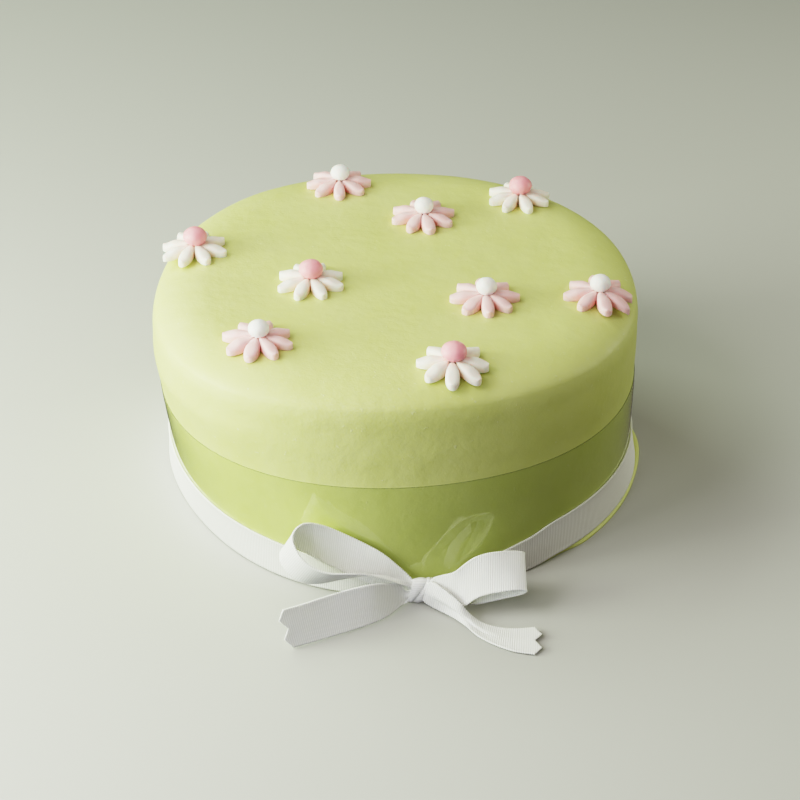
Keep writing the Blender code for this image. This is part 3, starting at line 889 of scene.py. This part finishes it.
def smooth_route(stations):
    """Rows of (upper edge, lower edge, bulge) at equal steps, and how far along each row is."""
    rows = np.array([[*upper, *lower, bulge] for upper, lower, bulge in stations])
    ends = np.vstack([rows[:1], rows, rows[-1:]])
    t = np.arange(CURVE_STEPS)[:, None] / CURVE_STEPS
    parts = []
    for a, b, c, d in zip(ends, ends[1:], ends[2:], ends[3:]):
        bend = (2 * a - 5 * b + 4 * c - d) * t ** 2 + (3 * b - a - 3 * c + d) * t ** 3
        parts.append(0.5 * (2 * b + (c - a) * t + bend))
    fine = np.vstack([*parts, rows[-1:]])
    middle = (fine[:, 0:3] + fine[:, 3:6]) / 2
    gone = np.concatenate([[0.0], np.cumsum(np.linalg.norm(np.diff(middle, axis=0), axis=1))])
    steps = round(gone[-1] / RIB_PITCH * STEPS_PER_RIB)
    along = np.linspace(0.0, gone[-1], steps + 1)
    return np.array([np.interp(along, gone, column) for column in fine.T]).T, along


# %% How a strap bulges, folds and ends
FULL_WIDTH = 13.0
PLEATS = 1.5
FOLD_ACROSS = (0.5, 0.56, 1.0)
FOLD_ALONG = (0.0, 5.0, 13.0, 38.0)
TAIL_POINT = 3.0
TAIL_END = 6.0


def unit(vectors):
    return vectors / np.linalg.norm(vectors, axis=1)[:, None]


def stands_out(rows, along, across, pleat_depth, crease, fold):
    """How far each point stands out of the strap. Crease sharpens the bulge, and fold laps it over."""
    width = np.linalg.norm(rows[:, 0:3] - rows[:, 3:6], axis=1)
    squeeze = np.clip(1.0 - width / FULL_WIDTH, 0.0, 1.0)
    round_bulge = 4.0 * across * (1.0 - across)
    sharp_bulge = 1.0 - np.abs(2.0 * across - 1.0)
    out = np.outer(rows[:, 6], round_bulge * (1.0 - crease) + sharp_bulge * crease)
    out += np.outer(pleat_depth * squeeze, np.sin(math.tau * PLEATS * across))
    below_fold = np.interp(across, FOLD_ACROSS, (0.0, 1.0, 0.0))
    return out - np.outer(fold * np.interp(along, FOLD_ALONG, (0.0, 0.0, 1.0, 0.0)), below_fold)


def tail_tips(along, across):
    """How much further each point of a tail reaches: its end is cut into two points."""
    tips = TAIL_POINT * (1.0 - np.abs((across * 2.0) % 1.0 - 0.5) * 2.0)
    return np.outer(np.clip(1.0 - (along[-1] - along) / TAIL_END, 0.0, None), tips)


# %% A strap of ribbon
STRAP_COLUMNS = [0.0, 0.02, 0.06, 0.12, 0.25, 0.375, 0.5, 0.56, 0.625, 0.75, 0.88, 0.94, 0.98, 1.0]


def strap(name, stations, pleat_depth=0.0, pointed=False, crease=0.0, fold=0.0):
    """A ribbed strap through the stations."""
    rows, along = smooth_route(stations)
    upper = rows[:, None, 0:3]
    lower = rows[:, None, 3:6]
    forward = unit(np.gradient(rows[:, 0:3] + rows[:, 3:6], axis=0))
    outward = unit(np.cross(forward, rows[:, 0:3] - rows[:, 3:6]))
    across = np.array(STRAP_COLUMNS)
    out = stands_out(rows, along, across, pleat_depth, crease, fold)
    further = tail_tips(along, across) if pointed else np.zeros_like(out)
    points = upper * (1.0 - across)[:, None] + lower * across[:, None]
    points = points + outward[:, None] * out[:, :, None] + forward[:, None] * further[:, :, None]

    columns = len(across)
    corners = [row * columns + column for row in range(len(rows) - 1) for column in range(columns - 1)]
    faces = [(corner, corner + 1, corner + columns + 1, corner + columns) for corner in corners]
    item = new_piece(name, [Vector(point) * MM for point in points.reshape(-1, 3)], faces)
    values = {"along": (along[:, None] + further) * MM, "across": np.tile(across, (len(rows), 1))}
    for label, numbers in values.items():
        layer = item.data.attributes.new(label, "FLOAT", "POINT")
        layer.data.foreach_set("value", numbers.ravel())
    item.data.shade_smooth()
    weave_cloth(item, bow_cloth_painted_brighter)
    bake(item)
    print(f"{name} is {along[-1]:.0f} mm long")
    return item


# %% The four straps
def loop(name, stations, **looks):
    """A strap that starts and ends in the knot."""
    return strap(name, [tucked(stations[0]), *stations, tucked(stations[-1])], **looks)


def tail(name, stations, **looks):
    """A strap that starts in the knot and ends in two points."""
    return strap(name, [tucked(stations[0]), *stations], pointed=True, **looks)


straps = {
    "bow_loop_left": loop("loop_left", LEFT_LOOP, pleat_depth=0.7),
    "bow_loop_right": loop("loop_right", RIGHT_LOOP, pleat_depth=0.6),
    "bow_tail_left": tail("tail_left", LEFT_TAIL, pleat_depth=0.6),
    "bow_tail_right": tail("tail_right", RIGHT_TAIL, pleat_depth=0.2, crease=1.0, fold=1.8),
}
for node, item in straps.items():
    stand_for(item, node)

# %% [markdown]
# ## The knot
# The knot is the same ribbon, pulled tight round the middle of the bow and creased into two folds that
# come down it slantwise, to the left. Each fold is one more strap, whose stations follow an oval
# round the knot while its two edges shift sideways. A small rounded core closes the space between
# the folds.

# %% The knot's folds and core
KNOT_STEPS = 14
KNOT_SWEEP = 150.0
KNOT_BLUNTNESS = 0.75
CORE_SHARE = 0.80
FOLD_BULGE = 0.75


def knot_fold(name, at_top, at_foot, lift):
    """One fold of the ribbon round the knot. Its two edges are given sideways from the knot's middle."""
    stations = []
    for step in range(KNOT_STEPS + 1):
        turn = math.radians(KNOT_SWEEP - 2.0 * KNOT_SWEEP * step / KNOT_STEPS)
        y = KNOT_CENTRE[1] - (KNOT_HALF_SIZE[1] - FOLD_BULGE + lift) * math.cos(turn)
        z = KNOT_CENTRE[2] + (KNOT_HALF_SIZE[2] - FOLD_BULGE + lift) * math.sin(turn)
        share = 0.5 - 0.5 * math.sin(turn)
        left, right = [KNOT_CENTRE[0] + top + (foot - top) * share for top, foot in zip(at_top, at_foot)]
        stations.append(((right, y, z), (left, y, z), FOLD_BULGE))
    return strap(name, stations)


def knot_core():
    """A rounded box: a ball whose points are pushed towards the corners."""
    core = new_piece("knot_core")
    ball = bmesh.new()
    bmesh.ops.create_uvsphere(ball, u_segments=32, v_segments=20, radius=1.0)
    for vertex in ball.verts:
        boxy = [math.copysign(abs(value) ** KNOT_BLUNTNESS, value) for value in vertex.co]
        sizes = zip(KNOT_CENTRE, KNOT_HALF_SIZE, boxy)
        vertex.co = Vector([centre + half * value * CORE_SHARE for centre, half, value in sizes]) * MM
    ball.to_mesh(core.data)
    ball.free()
    core.data.shade_smooth()
    core.data.materials.append(bow_cloth_painted_brighter)
    return core


knot = knot_fold("fold_left", (-2.6, 3.6), (-4.8, -2.9), 0.0)
parts = [knot, knot_fold("fold_right", (2.6, 4.3), (-3.6, 2.0), 0.1), knot_core()]
with bpy.context.temp_override(active_object=knot, selected_editable_objects=parts):
    bpy.ops.object.join()
knot.name = "knot"
print("faces in the knot:", len(knot.data.polygons))
stand_for(knot, "bow_knot")

# %% [markdown]
# ## The daisies
# Each flower is made of eight thick petals, cut from a sheet of sugar paste and pinched to a long
# crest, round a ball that was rolled by hand. All nine follow one rule, so one Geometry Nodes tree
# makes them: it shapes a single petal, sets it eight times round a circle, and lets the finished flower
# down onto the icing. A seed for each flower makes its petals a little uneven in length, width,
# height and direction.
#
# The flowers near the cake's rounded edge settle a little with it, so the tree has to know how high the
# icing is at any place. That is a group of its own.

# %% How high the icing is, and where a flower rests on it
SINK = 0.15


def make_icing_group():
    tree, wires = new_tree("Height of the icing", SHAPES, {"X": 0.0, "Y": 0.0})
    x = wires["X"]
    y = wires["Y"]
    angle = y.calc("ARCTAN2", x) * math.degrees(1.0)
    wall = use(tree, layers, {"Angle": angle, "Height": CAKE_HEIGHT}, "Icing")
    inset = (wall - (x * x + y * y).calc("SQRT")) / EDGE_RUN
    across = 1.0 - inset.calc("MAXIMUM", 0.0).calc("MINIMUM", 1.0)
    drop = (1.0 - (1.0 - across * across).calc("SQRT")) * EDGE_DROP
    return end_tree(tree, {"Height": CAKE_HEIGHT - drop})


icing_height = make_icing_group()


def resting_place(x, y, up, settle):
    """A place that is up above a flower's foot. The foot follows the icing by the share in settle."""
    ground = use(x.tree, icing_height, {"X": x, "Y": y})
    foot = ground + (CAKE_HEIGHT - ground) * (1.0 - settle) - SINK
    return xyz(x.tree, x, y, foot + up)


# %% [markdown]
# A petal's section is an oval whose lower half is squared off, because it was cut from a flat sheet:
# a superellipse, whose power sets how boxy it is. Along the petal the section widens and
# narrows again, and its crest rises out of the flower's middle and falls to a blunt tip. The steps
# lie closer together towards the tip, where the outline turns fastest.
#
# The section starts and ends at the same point, and at the root and the tip it shrinks to an upright
# line. Such points have to meet exactly, or the joining of doubled points leaves a slit. A full turn
# is therefore counted as none, and a sine that is only a rounding error away from 0 is taken as 0.

# %% The petals' sizes
PETAL_SIZES = {
    "Steps along": 18.0, "Steps round": 24.0, "Petals": 8.0, "Reach": 14.4, "Half width": 2.8,
    "Crown": 4.9, "Tip": 3.2, "Unevenness": 1.0,
}
PETAL_ROOT = 1.5
PETAL_HOLLOW = 4.5
PETAL_RISE = (0.5, 4.8)
PETAL_FALL = 8.0
WIDEST_AT = 0.64
ROOT_POWER = 0.5
TIP_POWER = 0.36
SIDE_SHARE = 0.46
SIDE_SLACK = 0.0001
UNDERSIDE_POWER = 0.28
TOPSIDE_POWER = 0.72
GAP_SHADE_DEPTH = (0.25, 0.95)
GAP_SHADE_REACH = (6.0, 13.0)
PETAL_MERGE = 0.024


# %% One petal
def blend(share, first, second):
    """first where share is 0, second where it is 1."""
    return first + (second - first) * share


def petal_outline(share, wires):
    """How far out, how wide and how high a petal is, at each share of the way to its tip."""
    radius = share * (wires["Reach"] - PETAL_ROOT) + PETAL_ROOT
    rising = (share / WIDEST_AT).calc("MINIMUM", 1.0) * (math.pi / 2.0)
    falling = ((share - WIDEST_AT) / (1.0 - WIDEST_AT)).calc("MAXIMUM", 0.0) * (math.pi / 2.0)
    root_side = rising.calc("SINE") ** ROOT_POWER
    tip_side = falling.calc("COSINE").calc("MAXIMUM", 0.0) ** TIP_POWER
    crest = blend(ease(radius, PETAL_FALL, wires["Reach"]), wires["Crown"], wires["Tip"])
    crest = blend(ease(radius, *PETAL_RISE), PETAL_HOLLOW, crest)
    return radius, root_side * tip_side * wires["Half width"], crest


def one_petal(tree, wires):
    """A petal that points along X. Its section is drawn clockwise, so that its faces look outwards."""
    shape, column, row = grid(tree, wires["Steps along"] + 1.0, wires["Steps round"] + 1.0)
    left = 1.0 - column / wires["Steps along"]
    radius, half_width, crest = petal_outline(1.0 - left * left, wires)
    turn = row.calc("FLOORED_MODULO", wires["Steps round"]) / wires["Steps round"] * -math.tau
    sideways = turn.calc("COSINE")
    upward = turn.calc("SINE")
    on_top = upward.calc("GREATER_THAN", 0.0)
    power = blend(on_top, UNDERSIDE_POWER, TOPSIDE_POWER)
    y = sideways.calc("ABSOLUTE") ** power * sideways.calc("SIGN") * half_width
    z_share = (upward.calc("ABSOLUTE") - SIDE_SLACK).calc("MAXIMUM", 0.0) ** power
    z = blend(on_top, 1.0 - z_share, z_share * (1.0 / SIDE_SHARE - 1.0) + 1.0) * crest * SIDE_SHARE
    shape = shape.then("GeometryNodeSetPosition", Position=xyz(tree, radius, y, z))
    # Where the petals' colour gets painted shade: near the flower's middle and low down between the petals.
    low_down = 1.0 - ease(z / crest, *GAP_SHADE_DEPTH)
    shape = store(shape, "gap_shade", (1.0 - ease(radius, *GAP_SHADE_REACH)) * low_down)
    return shape.then("GeometryNodeMergeByDistance", Distance=PETAL_MERGE)


# %% The tree for the petals
SWING = (-3.5, 3.5)
LONGER = (-0.04, 0.02)
WIDER = (-0.10, 0.06)
HIGHER = (-0.10, 0.0)


def random_value(between, index, seed):
    inputs = {2: between[0], 3: between[1], "ID": index, "Seed": seed}
    return add(index.tree, "FunctionNodeRandomValue", inputs, output=1, data_type="FLOAT")


def make_petals_tree():
    tree, wires = new_tree("Sugar petals", SHAPES, {
        **PETAL_SIZES, "Seed": 0, "X": 0.0, "Y": 0.0, "Direction": 0.0, "Settle": 0.0, "Material": FINISH,
    })
    points = add(tree, "GeometryNodeMeshLine", {"Count": wires["Petals"], "Offset": (0.0, 0.0, 0.0)})
    index = add(tree, "GeometryNodeInputIndex")
    seed = wires["Seed"]
    uneven = wires["Unevenness"]
    swing = random_value(SWING, index, seed) * uneven
    direction = wires["Direction"] + index / wires["Petals"] * 360.0 + swing
    length, width, height = [
        random_value(between, index, seed + number) * uneven + 1.0
        for number, between in enumerate((LONGER, WIDER, HIGHER), start=1)
    ]
    inputs = {
        "Points": points, "Instance": one_petal(tree, wires),
        "Rotation": xyz(tree, z=direction * math.radians(1.0)), "Scale": xyz(tree, length, width, height),
    }
    shape = add(tree, "GeometryNodeInstanceOnPoints", inputs).then("GeometryNodeRealizeInstances")
    x, y, up = add(tree, "GeometryNodeInputPosition").parts()
    shape = place_points(shape, resting_place(x + wires["X"], y + wires["Y"], up, wires["Settle"]))
    return end_tree(tree, {"Geometry": finish_shape(shape, wires["Material"])})


petals_tree = make_petals_tree()

# %% The tree for the ball in the middle
BALL_DENTS = 1.0 / 1.2
DENT_BIAS = 1.4


def make_ball_tree():
    """A fine ball of radius 1 is dented by noise, pressed flatter and lifted onto the petals."""
    tree, wires = new_tree("Sugar ball", SHAPES, {
        "Radius": 5.0, "Flatness": 0.8, "Middle": 6.0, "Unevenness": 0.25, "X": 0.0, "Y": 0.0, "Settle": 0.0,
        "Material": FINISH,
    })
    shape = add(tree, "GeometryNodeMeshIcoSphere", {"Radius": 1.0, "Subdivisions": 5})
    position = add(tree, "GeometryNodeInputPosition")
    where = xyz(tree, wires["X"], wires["Y"])
    dents = noise(position.vector("ADD", where), BALL_DENTS) * 2.0 - DENT_BIAS
    rolled = position.scaled(wires["Radius"] + dents * wires["Unevenness"])
    pressed = rolled.vector("MULTIPLY", xyz(tree, 1.0, 1.0, wires["Flatness"]))
    rest = resting_place(wires["X"], wires["Y"], wires["Middle"], wires["Settle"])
    shape = place_points(shape, pressed.vector("ADD", rest))
    return end_tree(tree, {"Geometry": finish_shape(shape, wires["Material"])})


ball_tree = make_ball_tree()

# %% [markdown]
# ## Sugar colours
# There are three pastes: white, a very pale pink, and a clear pink for some of the balls. The balls'
# white is a brighter, cleaner copy of the petals' white: painted light, for the extra light that the
# high balls catch. Sugar lets light in, which softens its shadows and lets some colour gather in the
# gaps between the petals. On top of that, the tree wrote an attribute that is 1 deep down in the
# middle of a flower, and there the petals' colour is mixed towards a deeper, warmer one: painted
# shade, tinted like the light that the petals pass into the gaps.

# %% The sugar finishes
SUGAR_PASTE = {
    "sizes": {"Blotch size": 6.0, "Grain size": 0.4, "Fleck size": 0.5, "Ripple size": 3.0,
              "Ripple height": 2.0},
    "fleck share": 0.3,
    "depth": 0.06,
    "glow": {"Subsurface Weight": 0.5, "Subsurface Radius": (1.0, 0.6, 0.5),
             "Subsurface Scale": 1.8 * MM},
}
PETAL_ROUGHNESS = 0.43
BALL_ROUGHNESS = 0.37

white_sugar = sugar_material(
    "white_sugar", SUGAR_PASTE, PETAL_ROUGHNESS,
    (0.94, 0.875, 0.805), (0.92, 0.85, 0.775), (0.96, 0.94, 0.90), gap_shade=(0.95, 0.70, 0.56))
pale_pink_sugar = sugar_material(
    "pale_pink_sugar", SUGAR_PASTE, PETAL_ROUGHNESS,
    (0.91, 0.61, 0.635), (0.90, 0.57, 0.595), (0.95, 0.80, 0.80), gap_shade=(0.94, 0.51, 0.50))
pink_sugar = sugar_material(
    "pink_sugar", SUGAR_PASTE, BALL_ROUGHNESS, (1.0, 0.41, 0.475), (1.0, 0.37, 0.435), (1.0, 0.66, 0.70))
# The balls' white is a brighter, cleaner copy of the petals' white: painted light.
ball_white_with_painted_light = sugar_material(
    "ball_white_with_painted_light", SUGAR_PASTE, BALL_ROUGHNESS, (1.0, 0.975, 0.94), (0.98, 0.95, 0.91), (1.0, 1.0, 1.0))

# %% The nine flowers
WHITE_PETALS = ("white_sugar", white_sugar)
PINK_PETALS = ("pale_pink_sugar", pale_pink_sugar)
PINK_BALL = ("pink_sugar", pink_sugar, {"Radius": 5.15, "Flatness": 0.76, "Middle": 7.5})
WHITE_BALL = ("white_sugar", ball_white_with_painted_light, {"Radius": 4.35, "Flatness": 0.85, "Middle": 7.1})
BALL_SHIFT = 0.5
DAISIES = [
    (-25.4, 76.0, 3.7, True, 0.4),
    (11.8, 44.0, 16.9, True, 0.4),
    (54.7, 63.2, 18.7, False, 0.4),
    (-85.5, 14.1, 29.5, False, 0.1),
    (-35.5, -14.6, 23.2, False, 0.4),
    (36.4, -28.0, 4.3, True, 0.4),
    (83.1, -24.4, 7.4, True, 0.4),
    (-54.5, -62.7, 30.9, True, 0.4),
    (22.0, -80.0, -3.0, False, 0.4),
]

for number, (x, y, direction, pink_petals, settle) in enumerate(DAISIES, start=1):
    petal_slot, petal_finish = PINK_PETALS if pink_petals else WHITE_PETALS
    ball_slot, ball_finish, ball_sizes = WHITE_BALL if pink_petals else PINK_BALL
    place = {"X": x, "Y": y, "Settle": settle}
    petals = new_piece(f"petals_{number}")
    grow(petals, petals_tree, {
        **place, "Seed": number * 10, "Direction": direction, "Material": petal_finish,
    })
    bake(petals)
    stand_for(petals, f"daisy_petals_{number}")
    ball = new_piece(f"ball_{number}")
    grow(ball, ball_tree, {**place, **ball_sizes, "X": x + BALL_SHIFT, "Material": ball_finish})
    bake(ball)
    stand_for(ball, f"daisy_ball_{number}")

# %% [markdown]
# ## The table and the light
# The photo's light comes from the left, like that of a large window: the cake's left side is bright,
# its top is a little less bright, and its right side is dark. Two large lamps on the left stand for
# the window, one low and one high. Four more shape the rest: two in front light the bow, one behind
# lights the far edge of the top, and one on the right keeps the shaded side from going black. Each
# was aimed and set by comparing colours at the same places in the photo and in the render.
#
# The table is a plain pale surface. It is hidden from bounced and mirrored light, so that the cake's
# shaded sides and the film stay as dark as they are in the photo.

# %% The table
TABLE_HALF = 3.0
TABLE_FINISH = {"Base Color": (0.50, 0.50, 0.49), "Roughness": 0.7}

corners = [(-1, -1), (1, -1), (1, 1), (-1, 1)]
table = new_piece("table", [(x * TABLE_HALF, y * TABLE_HALF, 0.0) for x, y in corners], [(0, 1, 2, 3)])
table_finish, tree, shader = new_material("table_finish")
fill(tree, shader, TABLE_FINISH)
table.data.materials.append(table_finish)
table.visible_diffuse = False
table.visible_glossy = False

# %% The lights
LIGHT_SHAPE = 0.5
ROOM_COLOUR = (1.0, 0.90, 0.87)
ROOM_STRENGTH = 0.10


def soft_light(name, direction, height, distance, power, colour):
    """A square light that faces the cake. Its direction and height are angles in degrees."""
    turn = math.radians(direction)
    rise = math.radians(height)
    light = bpy.data.objects.new(name, bpy.data.lights.new(name, "AREA"))
    light.data.energy = power
    light.data.size = distance * LIGHT_SHAPE
    light.data.color = colour
    level = math.cos(rise) * distance
    light.location = (level * math.cos(turn), level * math.sin(turn), distance * math.sin(rise))
    light.rotation_euler = (-light.location).to_track_quat("-Z", "Y").to_euler()
    bpy.context.collection.objects.link(light)
    print(f"{name} light: {power} W")


soft_light("low window", 195.0, 16.0, 0.7, 6.2, (0.91, 1.0, 0.75))
soft_light("high window", 208.0, 45.0, 0.8, 2.75, (1.0, 0.98, 0.91))
soft_light("left front", 236.0, 16.0, 0.7, 1.1, (0.86, 0.94, 1.0))
soft_light("front", 262.0, 48.0, 0.8, 0.95, (1.0, 0.97, 0.82))
soft_light("behind", 140.0, 45.0, 1.2, 5.4, (0.89, 1.0, 0.79))
soft_light("right", 14.0, 16.0, 0.8, 1.9, (0.97, 1.0, 0.78))

room = bpy.data.worlds.new("room")
room.use_nodes = True
background = room.node_tree.nodes["Background"]
fill(room.node_tree, background, {"Color": ROOM_COLOUR, "Strength": ROOM_STRENGTH})
bpy.context.scene.world = room
bpy.context.scene.view_settings.view_transform = "Filmic"
bpy.context.scene.view_settings.look = "Very High Contrast"
